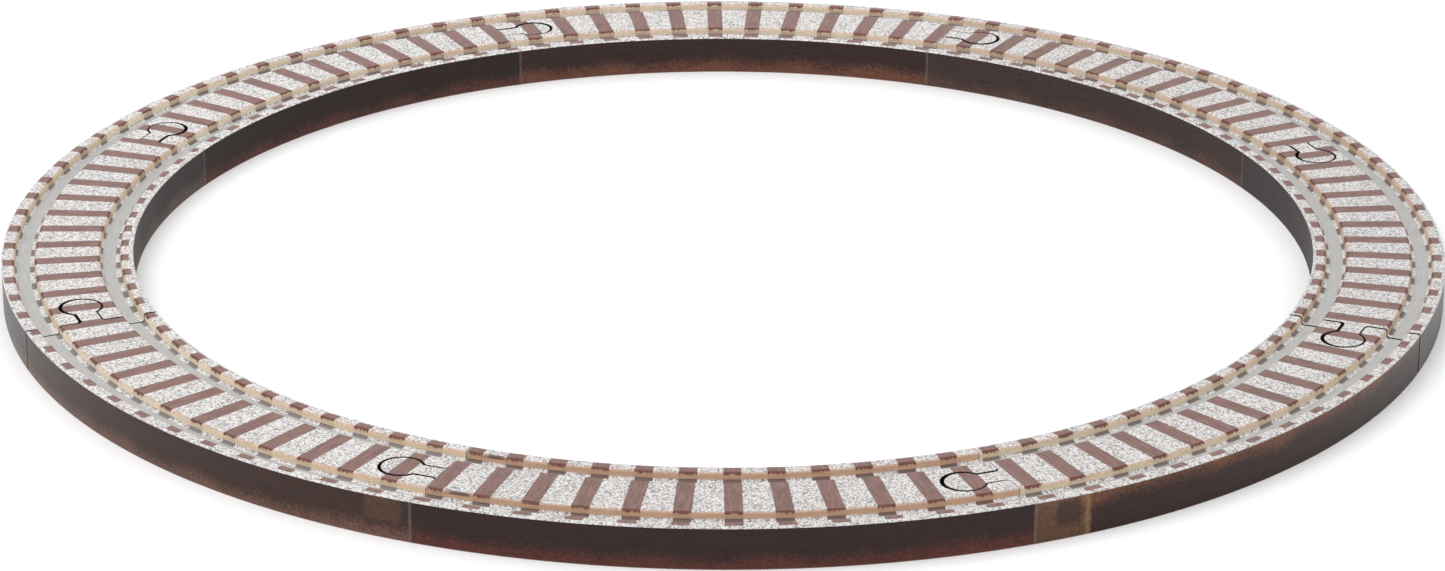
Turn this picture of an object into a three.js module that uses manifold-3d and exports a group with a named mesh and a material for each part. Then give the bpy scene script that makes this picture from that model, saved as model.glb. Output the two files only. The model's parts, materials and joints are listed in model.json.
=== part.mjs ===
// A closed circle of wooden toy railway track, made of eight equal curved sections.
// Each section is one milled piece of wood: two wheel grooves in its top face, a round-headed
// peg on one end and a matching socket in the other. The sections lie flat on the floor and
// interlock peg in socket all the way round.
//
// Millimetres, +Z up. The origin is at the centre of the circle, on the floor.
import * as THREE from 'three';
import { mergeVertices } from 'three/addons/utils/BufferGeometryUtils.js';
import Module from 'manifold-3d';

const wasm = await Module();
wasm.setup();

// ---- Driving dimensions -------------------------------------------------------------------

const centreRadius = 202;      // centre line of the track, where the pegs are
const trackWidth = 40;
const trackHeight = 12.5;
const grooveWidth = 6;         // one wheel groove
const grooveDepth = 2.6;
const gauge = 26;              // between the middles of the two grooves
const lipRound = 0.9;          // radius on the four upper edges of the grooves

const pegReach = 12.1;         // from a section's end face to the middle of its peg's head
const pegHeadRadius = 5.9;
const pegNeckWidth = 6.2;
const socketReach = 12;        // from the end face to the middle of the round part of the socket
const socketRadius = 6.5;
const socketThroatWidth = 7.1;
const throatRound = 1;         // where the neck or throat runs into the round part
const mouthRound = 1.2;        // where the neck or throat leaves the end face
const jointGap = 0.4;          // between the end faces of two sections

// Counter-clockwise seen from above, starting on the +X axis.
const sectionNames = [
  'right_curve', 'back_right_curve', 'back_curve', 'back_left_curve',
  'left_curve', 'front_left_curve', 'front_curve', 'front_right_curve',
];

// Smoothness of the faceted solid.
const facetsPerSection = 16;
const facetsPerLip = 2;
const facetsPerHead = 20;
const facetsPerFillet = 3;

// ---- Values that follow from them ---------------------------------------------------------

const sectionAngle = 2 * Math.PI / sectionNames.length;
const outerRadius = centreRadius + trackWidth / 2;
const innerRadius = centreRadius - trackWidth / 2;
const cutMargin = 8;           // how far the cutting outline passes the wood on every side

// ---- Shared shapes ------------------------------------------------------------------------

// Points along an arc, both ends included.
function arc(x, y, radius, from, to, facets) {
  const points = [];
  for (let i = 0; i <= facets; i += 1) {
    const angle = from + (to - from) * i / facets;
    points.push(new THREE.Vector2(x + radius * Math.cos(angle), y + radius * Math.sin(angle)));
  }
  return points;
}

// The outline of one wheel groove in the cross-section, from its outer lip to its inner lip.
function grooveProfile(radius) {
  const half = grooveWidth / 2;
  const lipHeight = trackHeight - lipRound;
  const floorHeight = trackHeight - grooveDepth;
  return [
    ...arc(radius + half + lipRound, lipHeight, lipRound, Math.PI / 2, Math.PI, facetsPerLip),
    new THREE.Vector2(radius + half, floorHeight),
    new THREE.Vector2(radius - half, floorHeight),
    ...arc(radius - half - lipRound, lipHeight, lipRound, 0, Math.PI / 2, facetsPerLip),
  ];
}

// The whole circle of track as one solid, before it is cut into sections.
function trackRing() {
  const profile = [
    new THREE.Vector2(innerRadius, 0),
    new THREE.Vector2(outerRadius, 0),
    new THREE.Vector2(outerRadius, trackHeight),
    ...grooveProfile(centreRadius + gauge / 2),
    ...grooveProfile(centreRadius - gauge / 2),
    new THREE.Vector2(innerRadius, trackHeight),
    new THREE.Vector2(innerRadius, 0),
  ];
  const ring = new THREE.LatheGeometry(profile, facetsPerSection * sectionNames.length);
  return ring.rotateX(Math.PI / 2);
}

// The outline of a peg or a socket beside its end face. The joint's own axes are x along the
// peg, away from the end face that carries it, and y towards the outside of the circle.
// It starts on the end face at the outside and ends on it at the inside.
function keyOutline(endFace, halfWidth, headRadius, reach) {
  const headX = endFace + reach;
  const mouthX = endFace + mouthRound;
  const mouthY = halfWidth + mouthRound;
  const throatY = halfWidth + throatRound;
  const throatX = headX - Math.sqrt((headRadius + throatRound) ** 2 - throatY ** 2);
  const lean = Math.atan2(throatY, headX - throatX);
  return [
    ...arc(mouthX, mouthY, mouthRound, Math.PI, 1.5 * Math.PI, facetsPerFillet),
    ...arc(throatX, throatY, throatRound, -Math.PI / 2, -lean, facetsPerFillet),
    ...arc(headX, 0, headRadius, Math.PI - lean, lean - Math.PI, facetsPerHead).slice(1, -1),
    ...arc(throatX, -throatY, throatRound, lean, Math.PI / 2, facetsPerFillet),
    ...arc(mouthX, -mouthY, mouthRound, Math.PI / 2, Math.PI, facetsPerFillet),
  ];
}

// One end of a section: its end face with the peg or socket in the middle, from the outside of
// the circle to the inside, placed at the joint's angle around the circle.
function sectionEnd(angle, endFace, key) {
  const sideY = trackWidth / 2 + cutMargin;
  const points = [
    new THREE.Vector2(endFace, sideY / Math.cos(sectionAngle / 2) + cutMargin),
    ...key,
    new THREE.Vector2(endFace, -sideY),
  ];
  return points.map(({ x, y }) => new THREE.Vector2(
    (centreRadius + y) * Math.cos(angle) + x * Math.sin(angle),
    (centreRadius + y) * Math.sin(angle) - x * Math.cos(angle),
  ));
}

// The plan outline of the section that lies across the +X axis. Its peg points clockwise.
function sectionOutline() {
  const pegFace = -jointGap / 2;
  const socketFace = jointGap / 2;
  const peg = keyOutline(pegFace, pegNeckWidth / 2, pegHeadRadius, pegReach);
  const socket = keyOutline(socketFace, socketThroatWidth / 2, socketRadius, socketReach);
  return new THREE.Shape([
    ...sectionEnd(-sectionAngle / 2, pegFace, peg).reverse(),
    ...sectionEnd(sectionAngle / 2, socketFace, socket),
  ]);
}

// ---- Booleans -----------------------------------------------------------------------------

function toManifold(geometry) {
  geometry.deleteAttribute('normal');
  geometry.deleteAttribute('uv');
  const closed = mergeVertices(geometry, 1e-4);
  return new wasm.Manifold(new wasm.Mesh({
    numProp: 3,
    vertProperties: closed.attributes.position.array,
    triVerts: new Uint32Array(closed.index.array),
  }));
}

function toGeometry(solid) {
  const mesh = solid.getMesh();
  const geometry = new THREE.BufferGeometry();
  geometry.setAttribute('position', new THREE.BufferAttribute(mesh.vertProperties, 3));
  geometry.setIndex(new THREE.BufferAttribute(mesh.triVerts, 1));
  geometry.computeVertexNormals();
  return geometry;
}

function sectionGeometry() {
  const cutter = new THREE.ExtrudeGeometry(sectionOutline(), {
    depth: trackHeight + 2 * cutMargin,
    bevelEnabled: false,
  });
  cutter.translate(0, 0, -cutMargin);
  return toGeometry(toManifold(trackRing()).intersect(toManifold(cutter)));
}

// ---- The model ----------------------------------------------------------------------------

const stainedWood = new THREE.MeshStandardMaterial({
  name: 'stained_wood',
  color: '#4d332c',
  roughness: 0.5,
  metalness: 0,
});

const trackCircle = new THREE.Group();
trackCircle.name = 'track_circle';
const curve = sectionGeometry();
sectionNames.forEach((name, index) => {
  const section = new THREE.Mesh(curve, stainedWood);
  section.name = name;
  section.rotation.z = index * sectionAngle;
  trackCircle.add(section);
});

export default trackCircle;
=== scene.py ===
"""A closed circle of wooden toy railway track, made of eight equal curved sections.

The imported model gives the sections' places and overall size. Each section is built again here with
smooth arcs, rounded lips and broken edges, and gets its stain, bare wood and printed trackbed.
"""

import json
import math

import bmesh
import bpy
from mathutils import Matrix, Vector


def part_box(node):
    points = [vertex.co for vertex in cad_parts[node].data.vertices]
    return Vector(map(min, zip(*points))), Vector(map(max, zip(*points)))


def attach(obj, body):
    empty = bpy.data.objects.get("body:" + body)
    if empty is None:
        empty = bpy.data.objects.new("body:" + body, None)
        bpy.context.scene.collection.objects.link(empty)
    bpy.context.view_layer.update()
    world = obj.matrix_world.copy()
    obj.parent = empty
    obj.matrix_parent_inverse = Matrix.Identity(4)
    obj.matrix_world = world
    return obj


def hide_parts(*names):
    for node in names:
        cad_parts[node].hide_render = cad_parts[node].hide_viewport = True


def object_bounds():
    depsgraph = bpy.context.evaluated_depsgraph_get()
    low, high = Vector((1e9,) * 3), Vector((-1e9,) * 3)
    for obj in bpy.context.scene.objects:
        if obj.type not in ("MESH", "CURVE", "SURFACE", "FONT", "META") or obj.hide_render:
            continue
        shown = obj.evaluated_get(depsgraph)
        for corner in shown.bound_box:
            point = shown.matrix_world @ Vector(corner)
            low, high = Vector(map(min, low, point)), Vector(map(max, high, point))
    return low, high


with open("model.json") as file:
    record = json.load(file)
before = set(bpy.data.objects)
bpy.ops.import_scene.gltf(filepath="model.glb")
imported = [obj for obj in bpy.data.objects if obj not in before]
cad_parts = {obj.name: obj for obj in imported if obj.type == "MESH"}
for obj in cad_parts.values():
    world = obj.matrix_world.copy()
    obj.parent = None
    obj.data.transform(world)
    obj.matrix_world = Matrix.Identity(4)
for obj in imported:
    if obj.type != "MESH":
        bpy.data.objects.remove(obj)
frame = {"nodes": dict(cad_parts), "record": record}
cad_low, cad_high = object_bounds()

# ---- Sizes, in millimetres ------------------------------------------------------------------

METRES = 0.001
OUTER_RADIUS = cad_high[0] / METRES
TRACK_HEIGHT = cad_high[2] / METRES
TRACK_WIDTH = 40
CENTRE_RADIUS = OUTER_RADIUS - TRACK_WIDTH / 2
INNER_RADIUS = OUTER_RADIUS - TRACK_WIDTH
SECTION_ANGLE = 2 * math.pi / len(frame["nodes"])
HALF_LENGTH = CENTRE_RADIUS * SECTION_ANGLE / 2

GAUGE = 26
GROOVE_WIDTH = 6
GROOVE_DEPTH = 2.6
# The groove walls that face away from the circle's middle.
OUTWARD_WALLS = [CENTRE_RADIUS + (side * GAUGE - GROOVE_WIDTH) / 2 for side in (-1, 1)]
LIP_ROUND = 0.9
FOOT_ROUND = 0.6
TOP_EDGE_ROUND = 0.45
BROKEN_EDGE = 0.3
FINE_EDGE_SHARE = 0.3
SHARP_ANGLE = math.radians(50)
# How far from the centre line the outlines of the pegs and sockets can reach.
KEY_ZONE = 8

# The head's middle is measured from the joint's own line, midway between the two end faces.
PEG = {"half_width": 3.1, "head_radius": 5.9, "middle": 11.9}
SOCKET = {"half_width": 3.55, "head_radius": 6.5, "middle": 12.2}
THROAT_ROUND = 1
MOUTH_ROUND = 1.2

SLEEPER_WIDTH = 5.1
SLEEPER_PITCH = math.radians(3.77)
SLEEPER_INNER_MARGIN = 0.6
SLEEPER_OUTER_MARGIN = 1.2
RAIL_WIDTH = 4

ARC_STATIONS = 72
LIP_FACETS = 6
FOOT_FACETS = 3
HEAD_FACETS = 48
FILLET_FACETS = 6

# How each section lies against the next one clockwise: the gap between their end faces, and how far
# its peg is pushed into the socket and towards the outside of the circle.
JOINT_PLAY = {
    "right": {"gap": 0.85, "pushed": 0.2, "outwards": 0.25},
    "back_right": {"gap": 0.08, "pushed": 0.55, "outwards": 0.1},
    "back": {"gap": 0.1, "pushed": 0, "outwards": 0.38},
    "back_left": {"gap": 0.1, "pushed": 0.1, "outwards": -0.38},
    "left": {"gap": 0.08, "pushed": 0.4, "outwards": 0.38},
    "front_left": {"gap": 0.6, "pushed": 0.25, "outwards": -0.25},
    "front": {"gap": 0.1, "pushed": 0.3, "outwards": -0.1},
    "front_right": {"gap": 0.1, "pushed": 0, "outwards": 0.2},
}

# What differs in the finish of one section and the next: where its print starts, along the track
# from the end with the peg, how far the print sits towards the outside, how light the print is, the
# stain at the top and the foot of its walls, the share of the height where one turns into the
# other, how strongly the stain reflects, and the bare wood in its grooves, at the end with the peg
# and at the far end.
LOOK_NAMES = ("start", "shift", "tone", "top", "foot", "turns", "gloss", "wood", "wood_far")
LOOK_ROWS = {
    "right": (1.9, 0.3, 0.9, "#2c2423", "#352c2b", 0.2, 0.34, "#cdb59b", "#cdb59b"),
    "back_right": (-0.2, 0.1, 0.93, "#362926", "#513b35", 0.22, 0.22, "#d3bea6", "#d3bea6"),
    "back": (0.1, 0.0, 1.01, "#2f1f1d", "#643f31", 0.3, 0.22, "#dccab3", "#dccab3"),
    "back_left": (-0.4, 0.2, 1.02, "#281c1b", "#54342c", 0.22, 0.22, "#d3c1aa", "#e4dac2"),
    "left": (-1.3, 0.8, 0.97, "#251d1c", "#54453f", 0.25, 0.34, "#d8c8ac", "#d8c8ac"),
    "front_left": (-1.0, 0.3, 0.96, "#33201a", "#67493e", 0.22, 0.24, "#ede1cb", "#dec5a9"),
    "front": (-0.1, 0.0, 0.9, "#291817", "#552c23", 0.25, 0.22, "#c8a388", "#c8a388"),
    "front_right": (1.4, 0.2, 0.92, "#65412d", "#2b1916", 0.87, 0.24, "#dccab0", "#dccab0"),
}
SECTION_LOOKS = {name: dict(zip(LOOK_NAMES, row)) for name, row in LOOK_ROWS.items()}

# Patches where the stain on a section's walls is thin or thick: how far they reach along the track
# from the end with the peg, their heights, how strong they are, and their colour.
PATCH_NAMES = ("start", "end", "low", "high", "share", "shade")
STAIN_PATCHES = {
    "front_right": (
        (-3, 15.5, -3, 16, 0.5, "#6d4d36"),
        (6, 12.8, 4.2, 11.2, 0.85, "#34231e"),
        (14.2, 15.3, -3, 16, 0.6, "#8f7048"),
    ),
    "front_left": ((146, 156, 5, 14, 0.45, "#5a4030"),),
}

# Two smudges on the front section's outward-facing groove lips, between its first two sleepers.
SCORCHED_SECTION = "front"
SCORCH_START = 6.2
SCORCH_END = 12.6
SCORCH_SHARE = 0.85
SCORCH_COLOUR = "#4a3034"

RUBBED_PRINT_COLOUR = "#cfc8c2"
RUBBED_STAIN_COLOUR = "#8d8079"
# Painted shade: the colour of the dark gaps between sections, put on the land's broken edges at the
# joints.
GAP_SHADE_COLOUR = "#120c0b"

# The camera's place, in metres, and its lens, in millimetres.
CAMERA_TARGET = (-0.0002, -0.0166, 0)
CAMERA_DISTANCE = 1.4967
CAMERA_ELEVATION = math.radians(21.87)
CAMERA_ROLL = math.radians(0.141)
CAMERA_SENSOR = 36
CAMERA_LENS = 121

PRINTED, GROOVE_WALL, GROOVE_FLOOR, STAINED, END_GRAIN = range(5)


def section_of(node):
    """A node's name without its ending, as the tables above have it."""
    return node.removesuffix("_curve")


def section_turn(node):
    """How far round the circle a section's middle is, from the frame."""
    low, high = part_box(node)
    azimuth = math.atan2(low[1] + high[1], low[0] + high[0])
    return round(azimuth / SECTION_ANGLE) * SECTION_ANGLE


def neighbour(node):
    """The next section counter-clockwise, whose peg is in this one's socket."""
    turned = (section_turn(node) + SECTION_ANGLE) / SECTION_ANGLE
    total = len(frame["nodes"])
    same = [n for n in frame["nodes"] if round(section_turn(n) / SECTION_ANGLE - turned) % total == 0]
    return same[0]


def body_of(node):
    """The body that a node belongs to, from the record."""
    bodies = frame["record"]["behaviour"]["bodies"]
    return next(body for body, nodes in bodies.items() if node in nodes)


# ---- Shape of one section -------------------------------------------------------------------


def arc(x, y, radius, start, end, facets):
    """Points along an arc, both ends included."""
    angles = [start + (end - start) * i / facets for i in range(facets + 1)]
    return [(x + radius * math.cos(a), y + radius * math.sin(a)) for a in angles]


def groove_profile(radius):
    """One groove in the cross-section, outer lip to inner lip, as (points, surface) runs."""
    half = GROOVE_WIDTH / 2
    lip_z = TRACK_HEIGHT - LIP_ROUND
    floor_z = TRACK_HEIGHT - GROOVE_DEPTH
    outer_lip = arc(radius + half + LIP_ROUND, lip_z, LIP_ROUND, math.pi / 2, math.pi, LIP_FACETS)
    inner_lip = arc(radius - half - LIP_ROUND, lip_z, LIP_ROUND, 0, math.pi / 2, LIP_FACETS)
    foot_z, foot_out = floor_z + FOOT_ROUND, half - FOOT_ROUND
    outer_foot = arc(radius + foot_out, foot_z, FOOT_ROUND, 0, -math.pi / 2, FOOT_FACETS)
    inner_foot = arc(radius - foot_out, foot_z, FOOT_ROUND, -math.pi / 2, -math.pi, FOOT_FACETS)
    return [
        (outer_lip, PRINTED),
        ([outer_lip[-1], outer_foot[0]], GROOVE_WALL),
        (outer_foot + inner_foot, GROOVE_FLOOR),
        ([inner_foot[-1], inner_lip[0]], GROOVE_WALL),
        (inner_lip, PRINTED),
    ]


def outer_profile():
    """The cross-section from the outer wall's foot to the land between the grooves."""
    edge_r = OUTER_RADIUS - TOP_EDGE_ROUND
    edge_z = TRACK_HEIGHT - TOP_EDGE_ROUND
    edge = arc(edge_r, edge_z, TOP_EDGE_ROUND, 0, math.pi / 2, LIP_FACETS)
    groove = groove_profile(CENTRE_RADIUS + GAUGE / 2)
    return [
        ([(OUTER_RADIUS, 0), edge[0]], STAINED),
        (edge, PRINTED),
        ([edge[-1], groove[0][0][0]], PRINTED),
        *groove,
    ]


def inner_profile():
    """The cross-section from the land between the grooves to the inner wall's foot."""
    edge_r = INNER_RADIUS + TOP_EDGE_ROUND
    edge_z = TRACK_HEIGHT - TOP_EDGE_ROUND
    edge = arc(edge_r, edge_z, TOP_EDGE_ROUND, math.pi / 2, math.pi, LIP_FACETS)
    groove = groove_profile(CENTRE_RADIUS - GAUGE / 2)
    return [
        *groove,
        ([groove[-1][0][-1], edge[0]], PRINTED),
        (edge, PRINTED),
        ([edge[-1], (INNER_RADIUS, 0)], STAINED),
    ]


def key_outline(face, half_width, head_radius, middle):
    """A peg's or socket's outline beside its end face, x along the peg and y outwards."""
    throat_y = half_width + THROAT_ROUND
    throat_x = middle - math.sqrt((head_radius + THROAT_ROUND) ** 2 - throat_y**2)
    lean = math.atan2(throat_y, middle - throat_x)
    mouth_x = face + MOUTH_ROUND
    mouth_y = half_width + MOUTH_ROUND
    quarter = math.pi / 2
    return [
        *arc(mouth_x, mouth_y, MOUTH_ROUND, 2 * quarter, 3 * quarter, FILLET_FACETS),
        *arc(throat_x, throat_y, THROAT_ROUND, -quarter, -lean, FILLET_FACETS),
        *arc(middle, 0, head_radius, math.pi - lean, lean - math.pi, HEAD_FACETS)[1:-1],
        *arc(throat_x, -throat_y, THROAT_ROUND, lean, quarter, FILLET_FACETS),
        *arc(mouth_x, -mouth_y, MOUTH_ROUND, quarter, 2 * quarter, FILLET_FACETS),
    ]


class SectionEnd:
    """One end of a section, side -1 with the peg or side 1 with the socket."""

    def __init__(self, side, play):
        self.side = side
        self.half_gap = play["gap"] / 2
        face = side * self.half_gap
        if side < 0:
            middle = PEG["middle"] + play["pushed"]
            outline = key_outline(face, PEG["half_width"], PEG["head_radius"], middle)
            outwards = play["outwards"]
        else:
            outline = key_outline(face, **SOCKET)
            outwards = 0
        self.outline = [self.placed(x, y + outwards) for x, y in outline]

    def placed(self, x, y):
        """A point of the joint, x clockwise from the joint's line and y outwards."""
        azimuth = self.side * SECTION_ANGLE / 2
        along = Vector((math.sin(azimuth), -math.cos(azimuth)))
        out = Vector((math.cos(azimuth), math.sin(azimuth)))
        return x * along + (CENTRE_RADIUS + y) * out

    def azimuth(self, radius):
        """Where the end face is, round the circle, at a radius."""
        return self.side * (SECTION_ANGLE / 2 - math.asin(self.half_gap / radius))


class SectionShell:
    """Collects the faces of one section. Corners that fall together are welded at the end."""

    def __init__(self, peg_end, socket_end):
        self.mesh = bmesh.new()
        self.peg_end = peg_end
        self.socket_end = socket_end

    def face(self, points, surface):
        corners = [self.mesh.verts.new(Vector(p) * METRES) for p in points]
        self.mesh.faces.new(corners).material_index = surface

    def swept(self, radius, height, share):
        """A point of the cross-section, carried a share of the way to the socket's end."""
        low, high = self.peg_end.azimuth(radius), self.socket_end.azimuth(radius)
        azimuth = low + (high - low) * share
        return (radius * math.cos(azimuth), radius * math.sin(azimuth), height)

    def sweep(self, profile):
        for points, surface in profile:
            for (r0, z0), (r1, z1) in zip(points, points[1:]):
                for i in range(ARC_STATIONS):
                    a, b = i / ARC_STATIONS, (i + 1) / ARC_STATIONS
                    quad = [(r0, z0, a), (r0, z0, b), (r1, z1, b), (r1, z1, a)]
                    self.face([self.swept(*corner) for corner in quad], surface)

    def level(self, height, outer_r, inner_r, surface):
        """The level face at a height, from the peg's outline to the socket's."""
        shares = [i / ARC_STATIONS for i in range(ARC_STATIONS + 1)]
        outline = [self.swept(outer_r, height, share) for share in shares]
        outline += [(*point, height) for point in self.socket_end.outline]
        outline += [self.swept(inner_r, height, share) for share in reversed(shares)]
        outline += [(*point, height) for point in reversed(self.peg_end.outline)]
        self.face(outline if height > 0 else outline[::-1], surface)

    def key_wall(self, outline):
        for (x0, y0), (x1, y1) in zip(outline, outline[1:]):
            top = TRACK_HEIGHT
            self.face([(x0, y0, 0), (x1, y1, 0), (x1, y1, top), (x0, y0, top)], END_GRAIN)

    def end_cap(self, profile, share, key_point):
        """The part of an end face on one side of the peg or socket."""
        corners = []
        for points, _ in profile:
            corners += [p for p in points if p not in corners]
        outline = [self.swept(r, z, share) for r, z in corners]
        on_key = [(*key_point, TRACK_HEIGHT), (*key_point, 0)]
        keyed_last = corners[0][1] == 0
        self.face(outline + (on_key if keyed_last else on_key[::-1]), END_GRAIN)

    def mark_sharp_edges(self):
        """Weights for the broken edges, full round the peg and the socket and finer elsewhere."""
        weight = self.mesh.edges.layers.float.new("bevel_weight_edge")
        for edge in self.mesh.edges:
            if edge.calc_face_angle(0) < SHARP_ANGLE:
                continue
            middle = (edge.verts[0].co + edge.verts[1].co) / 2
            turn = abs(math.atan2(middle.y, middle.x)) - SECTION_ANGLE / 2
            from_end = abs(turn) * middle.xy.length / METRES
            on_top = {face.material_index for face in edge.link_faces} == {PRINTED, END_GRAIN}
            key_share = min(from_end / MOUTH_ROUND, 1) if on_top else 0
            edge[weight] = FINE_EDGE_SHARE + (1 - FINE_EDGE_SHARE) * key_share

    def finished(self, name):
        bmesh.ops.remove_doubles(self.mesh, verts=self.mesh.verts[:], dist=1e-7)
        bmesh.ops.recalc_face_normals(self.mesh, faces=self.mesh.faces[:])
        self.mark_sharp_edges()
        data = bpy.data.meshes.new(name)
        self.mesh.to_mesh(data)
        self.mesh.free()
        return data


def section_mesh(node):
    peg_end = SectionEnd(-1, JOINT_PLAY[section_of(node)])
    socket_end = SectionEnd(1, JOINT_PLAY[section_of(neighbour(node))])
    shell = SectionShell(peg_end, socket_end)
    outer, inner = outer_profile(), inner_profile()
    shell.sweep(outer)
    shell.sweep(inner)
    land_outer, land_inner = outer[-1][0][-1][0], inner[0][0][0][0]
    shell.level(TRACK_HEIGHT, land_outer, land_inner, PRINTED)
    shell.level(0, OUTER_RADIUS, INNER_RADIUS, STAINED)
    for end, share in ((peg_end, 0), (socket_end, 1)):
        shell.key_wall(end.outline)
        shell.end_cap(outer, share, end.outline[0])
        shell.end_cap(inner, share, end.outline[-1])
    return shell.finished(f"{node}_finished")


def placed_section(node, materials):
    """Adds a finished section in its place round the circle, riding with its node's body."""
    data = section_mesh(node)
    data.transform(Matrix.Rotation(section_turn(node), 4, "Z"))
    piece = bpy.data.objects.new(data.name, data)
    bpy.context.scene.collection.objects.link(piece)
    for material in materials:
        data.materials.append(material)
    bevel = piece.modifiers.new("broken_edges", "BEVEL")
    bevel.width = BROKEN_EDGE * METRES
    bevel.segments = 2
    bevel.limit_method = "WEIGHT"
    bevel.use_clamp_overlap = False
    bevel.harden_normals = True
    data.shade_smooth()
    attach(piece, body_of(node))
    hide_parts(node)


# ---- Materials ------------------------------------------------------------------------------


def colour(code):
    """A linear colour from a hex code such as #c8c3c1."""
    parts = [int(code[i : i + 2], 16) / 255 for i in (1, 3, 5)]
    return tuple(p / 12.92 if p <= 0.04045 else ((p + 0.055) / 1.055) ** 2.4 for p in parts)


class Finish:
    """One material, with short calls for its nodes. A value is a number, a colour or a socket."""

    def __init__(self, name, turn):
        self.material = bpy.data.materials.new(name)
        self.material.use_nodes = True
        self.tree = self.material.node_tree
        self.shader = self.tree.nodes["Principled BSDF"]
        place = self.add("ShaderNodeTexCoord").outputs["Object"]
        mapping = self.add("ShaderNodeMapping", {"Vector": place, "Rotation": (0, 0, -turn)})
        mapping.inputs["Scale"].default_value = (1 / METRES,) * 3
        self.place = mapping.outputs[0]
        split = self.add("ShaderNodeSeparateXYZ", {0: self.place})
        self.x, self.y, self.z = split.outputs
        square = self.math("ADD", self.math("POWER", self.x, 2), self.math("POWER", self.y, 2))
        self.radius = self.math("SQRT", square)
        self.azimuth = self.math("ARCTAN2", self.y, self.x)
        self.along = self.math("MULTIPLY", self.azimuth, CENTRE_RADIUS)

    def from_peg(self):
        """How far along the track a point is from the end with the peg."""
        return self.math("ADD", self.along, HALF_LENGTH)

    def add(self, kind, values=None, **settings):
        node = self.tree.nodes.new(kind)
        for name, value in settings.items():
            setattr(node, name, value)
        for socket, value in (values or {}).items():
            self.put(node.inputs[socket], value)
        return node

    def put(self, socket, value):
        if isinstance(value, bpy.types.NodeSocket):
            self.tree.links.new(value, socket)
        elif socket.type == "RGBA":
            socket.default_value = (*value, 1)
        else:
            socket.default_value = value

    def math(self, operation, *values):
        return self.add("ShaderNodeMath", dict(enumerate(values)), operation=operation).outputs[0]

    def product(self, *values):
        result = values[0]
        for value in values[1:]:
            result = self.math("MULTIPLY", result, value)
        return result

    def step(self, value, low, high):
        """0 below low and 1 above high, smooth in between."""
        values = {"Value": value, "From Min": low, "From Max": high}
        return self.add("ShaderNodeMapRange", values, interpolation_type="SMOOTHSTEP").outputs[0]

    def opposite(self, share):
        return self.math("SUBTRACT", 1, share)

    def within(self, value, low, high, soft):
        """1 between low and high, with soft edges."""
        above = self.step(value, low - soft, low + soft)
        below = self.opposite(self.step(value, high - soft, high + soft))
        return self.product(above, below)

    def blend(self, share, first, second, kind="MIX"):
        values = {0: share, 6: first, 7: second}
        return self.add("ShaderNodeMix", values, data_type="RGBA", blend_type=kind).outputs[2]

    def vector(self, x, y, z):
        return self.add("ShaderNodeCombineXYZ", {0: x, 1: y, 2: z}).outputs[0]

    def noise(self, scale, detail=2, vector=None):
        values = {"Vector": vector or self.place, "Scale": scale, "Detail": detail}
        return self.add("ShaderNodeTexNoise", values).outputs["Fac"]

    def sway(self, size, scale, detail=2, vector=None):
        """Noise from half a size below zero to half a size above."""
        return self.product(self.math("SUBTRACT", self.noise(scale, detail, vector), 0.5), size)

    def bump(self, height, depth):
        values = {"Height": height, "Distance": depth * METRES, "Strength": 1}
        self.put(self.shader.inputs["Normal"], self.add("ShaderNodeBump", values).outputs[0])

    def surface(self, base, roughness):
        self.put(self.shader.inputs["Base Color"], base)
        self.put(self.shader.inputs["Roughness"], roughness)
        return self.material


def sleeper_spot(finish, looks):
    """Where a point is on the nearest sleeper: distance from its middle line, and its number."""
    start = looks["start"] + SLEEPER_WIDTH / 2
    first = start / CENTRE_RADIUS - SECTION_ANGLE / 2
    count = finish.math("DIVIDE", finish.math("SUBTRACT", finish.azimuth, first), SLEEPER_PITCH)
    number = finish.math("ROUND", count)
    turn = finish.product(finish.math("SUBTRACT", count, number), SLEEPER_PITCH)
    return finish.product(turn, finish.radius), number


def sleeper_share(finish, looks, offset):
    """1 on a printed sleeper and 0 on the ballast, with slightly ragged edges."""
    ragged = finish.sway(0.5, 1.6)
    distance = finish.math("ABSOLUTE", finish.math("ADD", offset, ragged))
    half = SLEEPER_WIDTH / 2
    across = finish.opposite(finish.step(distance, half - 0.12, half + 0.12))
    inner = INNER_RADIUS + SLEEPER_INNER_MARGIN + looks["shift"]
    outer = OUTER_RADIUS - SLEEPER_OUTER_MARGIN + looks["shift"]
    return finish.product(across, finish.within(finish.radius, inner, outer, 0.12))


def worn_ends(finish):
    """1 along the section's two ends, where the print and the stain are rubbed off the edges."""
    turn = finish.math("SUBTRACT", SECTION_ANGLE / 2, finish.math("ABSOLUTE", finish.azimuth))
    distance = finish.math("ABSOLUTE", finish.product(turn, finish.radius))
    uneven = finish.product(finish.noise(0.8), 0.5)
    near = finish.step(finish.math("ADD", distance, uneven), 0.3, 0.75)
    clear_of_peg = finish.math("ABSOLUTE", finish.math("SUBTRACT", finish.radius, CENTRE_RADIUS))
    return finish.product(finish.opposite(near), finish.step(clear_of_peg, 4.2, 4.8))


def ballast_colour(finish):
    """Fine grey, white and pinkish stones."""
    cells = finish.add("ShaderNodeTexVoronoi", {"Vector": finish.place, "Scale": 2.2})
    random = finish.add("ShaderNodeSeparateColor", {0: cells.outputs["Color"]}).outputs
    grey = finish.blend(finish.step(random[0], 0.05, 0.7), colour("#777573"), colour("#e2e1e0"))
    pink = finish.step(random[1], 0.65, 0.95)
    stones = finish.blend(finish.product(pink, 0.5), grey, colour("#cfb4ae"))
    clear = finish.step(finish.noise(1.3, 3), 0.4, 0.8)
    return finish.blend(finish.product(clear, 0.6), stones, colour("#d2cfcd"))


def sleeper_colour(finish, offset, number):
    """Printed brown wood, with its grain along the sleeper."""
    grain_place = finish.vector(
        offset, finish.product(finish.radius, 0.12), finish.product(number, 7.3)
    )
    grain = finish.noise(1.5, 4, grain_place)
    brown = finish.blend(finish.step(grain, 0.3, 0.7), colour("#70524c"), colour("#906c64"))
    speckle = finish.step(finish.noise(2.5, 3), 0.3, 0.75)
    return finish.blend(finish.product(speckle, 0.35), brown, colour("#64463f"))


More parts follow.
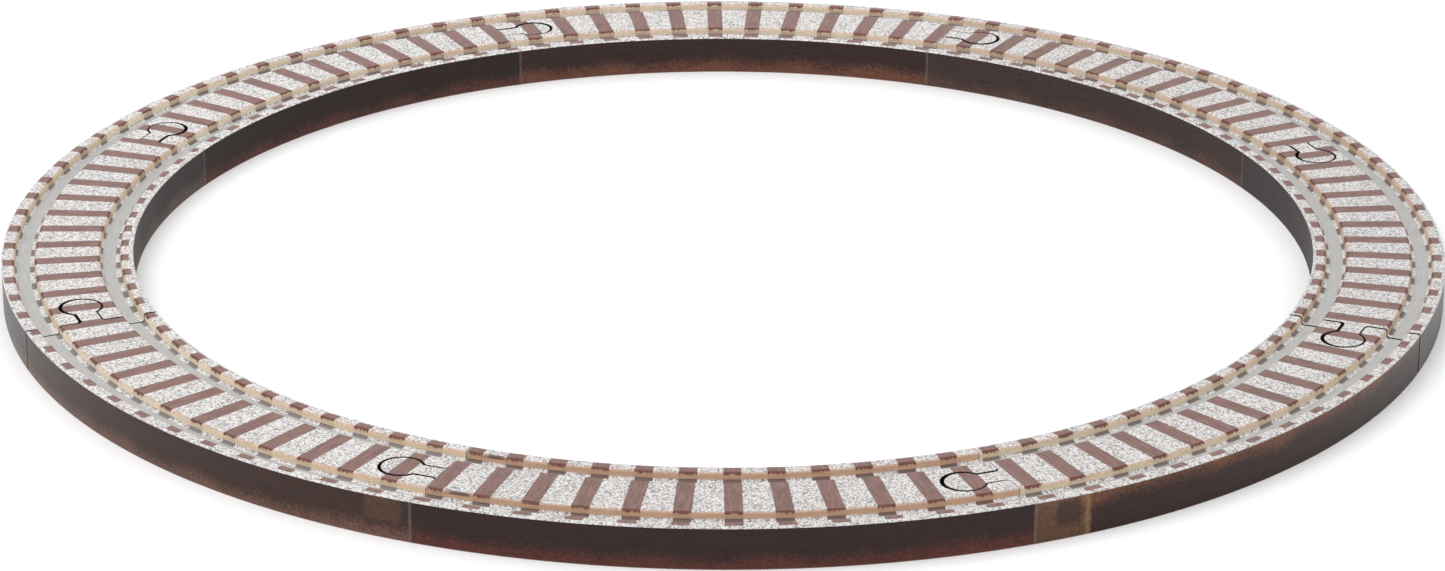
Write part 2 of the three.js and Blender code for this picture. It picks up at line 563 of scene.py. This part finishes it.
def bare_wood_colour(finish, looks):
    """Pale milled wood, which changes colour from one end of a section to the other."""
    grain_place = finish.vector(
        finish.x, finish.product(finish.y, 0.15), finish.product(finish.z, 2)
    )
    grain = finish.step(finish.noise(1.1, 4, grain_place), 0.3, 0.7)
    far_share = finish.step(finish.along, -HALF_LENGTH, HALF_LENGTH)
    pale = finish.blend(far_share, colour(looks["wood"]), colour(looks["wood_far"]))
    shade = finish.blend(grain, (0.9,) * 3, (1.08,) * 3)
    return finish.blend(1, pale, shade, "MULTIPLY")


def scorch_share(finish):
    """1 in the two smudges on the outward-facing groove lips, between the first two sleepers."""
    cloudy = finish.sway(3, 0.6, 4)
    place = finish.math("ADD", finish.from_peg(), cloudy)
    length = finish.within(place, SCORCH_START, SCORCH_END, 1.6)
    height = finish.within(finish.z, TRACK_HEIGHT - 1.2, TRACK_HEIGHT - 0.03, 0.02)
    bands = [finish.within(finish.radius, r - 1.2, r + 0.2, 0.2) for r in OUTWARD_WALLS]
    return finish.product(length, height, finish.math("MAXIMUM", *bands))


def printed_material(node, turn, looks):
    """The trackbed print on the top faces, worn through to the wood on the groove lips."""
    finish = Finish(f"{node}_print", turn)
    offset, number = sleeper_spot(finish, looks)
    sleeper = sleeper_share(finish, looks, offset)
    wood = bare_wood_colour(finish, looks)
    clear_of_rims = finish.within(finish.radius, INNER_RADIUS + 1, OUTER_RADIUS - 1, 0.2)
    drop = finish.product(finish.math("SUBTRACT", TRACK_HEIGHT, finish.z), clear_of_rims)
    lip = finish.math("SQRT", finish.math("MAXIMUM", drop, 0))
    streak_place = finish.vector(finish.along, finish.product(finish.z, 0.4), 0)
    uneven = finish.math("ADD", lip, finish.sway(1.2, 1, 3, streak_place))
    dark = finish.blend(
        finish.product(finish.step(lip, 0, 0.3), 0.9),
        sleeper_colour(finish, offset, number),
        colour("#602814"),
    )
    pinkish = finish.blend(
        finish.product(finish.step(uneven, 0.1, 0.5), 0.75), ballast_colour(finish), colour("#c29980")
    )
    base = finish.blend(
        sleeper,
        finish.blend(finish.step(uneven, 0.35, 0.95), pinkish, wood),
        finish.blend(finish.step(uneven, 0.55, 1.1), dark, wood),
    )
    # Painted shade: the broken edges round the peg, the socket and the section's ends on the land are
    # painted nearly black, like the shaded gaps between sections.
    on_land = finish.within(finish.radius, CENTRE_RADIUS - KEY_ZONE, CENTRE_RADIUS + KEY_ZONE, 0.2)
    gap_shade = finish.product(on_land, finish.step(drop, 0.02, 0.07))
    base = finish.blend(gap_shade, base, colour(GAP_SHADE_COLOUR))
    if section_of(node) == SCORCHED_SECTION:
        scorch = finish.product(scorch_share(finish), SCORCH_SHARE)
        base = finish.blend(scorch, base, colour(SCORCH_COLOUR))
    base = finish.blend(finish.product(worn_ends(finish), 0.8), base, colour(RUBBED_PRINT_COLOUR))
    base = finish.blend(1, base, (looks["tone"],) * 3, "MULTIPLY")
    return finish.surface(base, 0.55)


def groove_wall_material(node, turn, looks):
    """Bare milled wood, browner below the sleepers, most of all on the inward-facing walls."""
    finish = Finish(f"{node}_groove_wall", turn)
    offset, _ = sleeper_spot(finish, looks)
    bands = [finish.within(finish.radius, r - 1, r + 1, 0.5) for r in OUTWARD_WALLS]
    depth = finish.math("SUBTRACT", 0.45, finish.product(finish.math("MAXIMUM", *bands), 0.3))
    shade = finish.product(sleeper_share(finish, looks, offset), depth)
    base = finish.blend(shade, bare_wood_colour(finish, looks), colour("#8a6248"))
    return finish.surface(base, 0.6)


def groove_floor_material(node, turn, looks):
    """The grooves' floors: a grey rail in the middle, with ballast and sleeper ends beside it."""
    finish = Finish(f"{node}_groove_floor", turn)
    offset, _ = sleeper_spot(finish, looks)
    sleeper = sleeper_share(finish, looks, offset)
    wood = colour(looks["wood"])
    shaded = (wood[0] * 0.25, wood[1] * 0.25, wood[2] * 0.31)
    bed = finish.blend(sleeper, ballast_colour(finish), shaded)
    rail_radii = [CENTRE_RADIUS + side * GAUGE / 2 + looks["shift"] * 0.5 for side in (-1, 1)]
    half = RAIL_WIDTH / 2
    bands = [finish.within(finish.radius, r - half, r + half, 0.15) for r in rail_radii]
    rail = finish.math("MAXIMUM", *bands)
    streak_place = finish.vector(finish.radius, finish.product(finish.along, 0.06), 0)
    streak = finish.step(finish.noise(2.2, 3, streak_place), 0.3, 0.7)
    metal = finish.blend(streak, colour("#a5a5a3"), colour("#b4b5b4"))
    worn = finish.product(worn_ends(finish), 0.6)
    base = finish.blend(worn, finish.blend(rail, bed, metal), colour(RUBBED_PRINT_COLOUR))
    return finish.surface(base, 0.5)


def stained_material(node, turn, looks, shaded_ends=False):
    """Dark satin stain over wood, grain along the section's chord; end faces darker as painted shade.
    """
    finish = Finish(f"{node}_{'end' if shaded_ends else 'side'}_stain", turn)
    grain_place = finish.vector(
        finish.x, finish.product(finish.y, 0.06), finish.product(finish.z, 1.6)
    )
    grain = finish.noise(1.2, 5, grain_place)
    height = finish.math("DIVIDE", finish.z, TRACK_HEIGHT)
    cloudy = finish.math("ADD", height, finish.sway(0.6, 0.06, 4))
    fade = finish.math("ADD", cloudy, finish.sway(0.5, 1.1, 3))
    upper = finish.step(fade, looks["turns"] - 0.3, looks["turns"] + 0.2)
    base = finish.blend(upper, colour(looks["foot"]), colour(looks["top"]))
    for row in STAIN_PATCHES.get(section_of(node), ()):
        base = stain_patch(finish, base, **dict(zip(PATCH_NAMES, row)))
    mottle = finish.math("MULTIPLY_ADD", finish.noise(1.6, 4), 0.6, finish.product(grain, 0.4))
    tone = finish.blend(finish.step(mottle, 0.35, 0.65), (0.7, 0.7, 0.7), (1.3, 1.3, 1.3))
    base = finish.blend(1, base, tone, "MULTIPLY")
    if shaded_ends:
        # Painted shade: on the end faces the stain is taken three quarters of the way to near-black,
        # as the narrow gaps between sections look.
        base = finish.blend(0.75, base, colour("#17100e"))
    else:
        foot_edge = finish.opposite(finish.step(finish.z, 0.1, 0.35))
        rubbed = finish.math("MAXIMUM", worn_ends(finish), foot_edge)
        base = finish.blend(finish.product(rubbed, 0.55), base, colour(RUBBED_STAIN_COLOUR))
    finish.put(finish.shader.inputs["Specular IOR Level"], looks["gloss"])
    finish.bump(grain, 0.02)
    inner_wall = finish.opposite(finish.step(finish.radius, INNER_RADIUS, CENTRE_RADIUS))
    roughness = finish.math("MULTIPLY_ADD", inner_wall, 0.25, 0.28)
    return finish.surface(base, finish.math("MULTIPLY_ADD", grain, 0.2, roughness))


def stain_patch(finish, base, start, end, low, high, share, shade):
    """The stain with one patch over it, its edges a little cloudy."""
    cloudy = finish.sway(2.5, 0.4, 4)
    length = finish.within(finish.math("ADD", finish.from_peg(), cloudy), start, end, 0.9)
    height = finish.within(finish.math("ADD", finish.z, cloudy), low, high, 1)
    return finish.blend(finish.product(length, height, share), base, colour(shade))


def section_materials(node, turn):
    looks = SECTION_LOOKS[section_of(node)]
    return [
        printed_material(node, turn, looks),
        groove_wall_material(node, turn, looks),
        groove_floor_material(node, turn, looks),
        stained_material(node, turn, looks),
        stained_material(node, turn, looks, shaded_ends=True),
    ]


# ---- Camera, floor and light ----------------------------------------------------------------


def add_camera():
    data = bpy.data.cameras.new("camera")
    data.sensor_width = CAMERA_SENSOR
    data.lens = CAMERA_LENS
    camera = bpy.data.objects.new("camera", data)
    bpy.context.scene.collection.objects.link(camera)
    back = Vector((0, -math.cos(CAMERA_ELEVATION), math.sin(CAMERA_ELEVATION)))
    place = Matrix.Translation(Vector(CAMERA_TARGET) + CAMERA_DISTANCE * back)
    tilt = Matrix.Rotation(math.pi / 2 - CAMERA_ELEVATION, 4, "X")
    camera.matrix_world = place @ tilt @ Matrix.Rotation(CAMERA_ROLL, 4, "Z")
    bpy.context.scene.camera = camera


def add_floor():
    bpy.ops.mesh.primitive_plane_add(size=12)
    floor = bpy.context.object
    floor.name = "floor"
    material = bpy.data.materials.new("floor")
    material.use_nodes = True
    shader = material.node_tree.nodes["Principled BSDF"]
    shader.inputs["Base Color"].default_value = (0.98, 0.98, 0.98, 1)
    shader.inputs["Roughness"].default_value = 0.7
    floor.data.materials.append(material)


def add_light():
    world = bpy.data.worlds.new("studio")
    bpy.context.scene.world = world
    world.use_nodes = True
    world.node_tree.nodes["Background"].inputs["Color"].default_value = (1, 1, 1, 1)
    world.node_tree.nodes["Background"].inputs["Strength"].default_value = 0.95
    data = bpy.data.lights.new("softbox", "AREA")
    data.shape = "RECTANGLE"
    data.size = 1.6
    data.size_y = 1.2
    data.energy = 12
    softbox = bpy.data.objects.new("softbox", data)
    bpy.context.scene.collection.objects.link(softbox)
    softbox.location = (-0.5, -0.4, 1.6)
    softbox.rotation_euler = (-softbox.location).to_track_quat("-Z", "Y").to_euler()
    bpy.context.scene.view_settings.view_transform = "Standard"


# ---- The scene ------------------------------------------------------------------------------

add_camera()
add_floor()
add_light()

for node_name in frame["nodes"]:
    placed_section(node_name, section_materials(node_name, section_turn(node_name)))
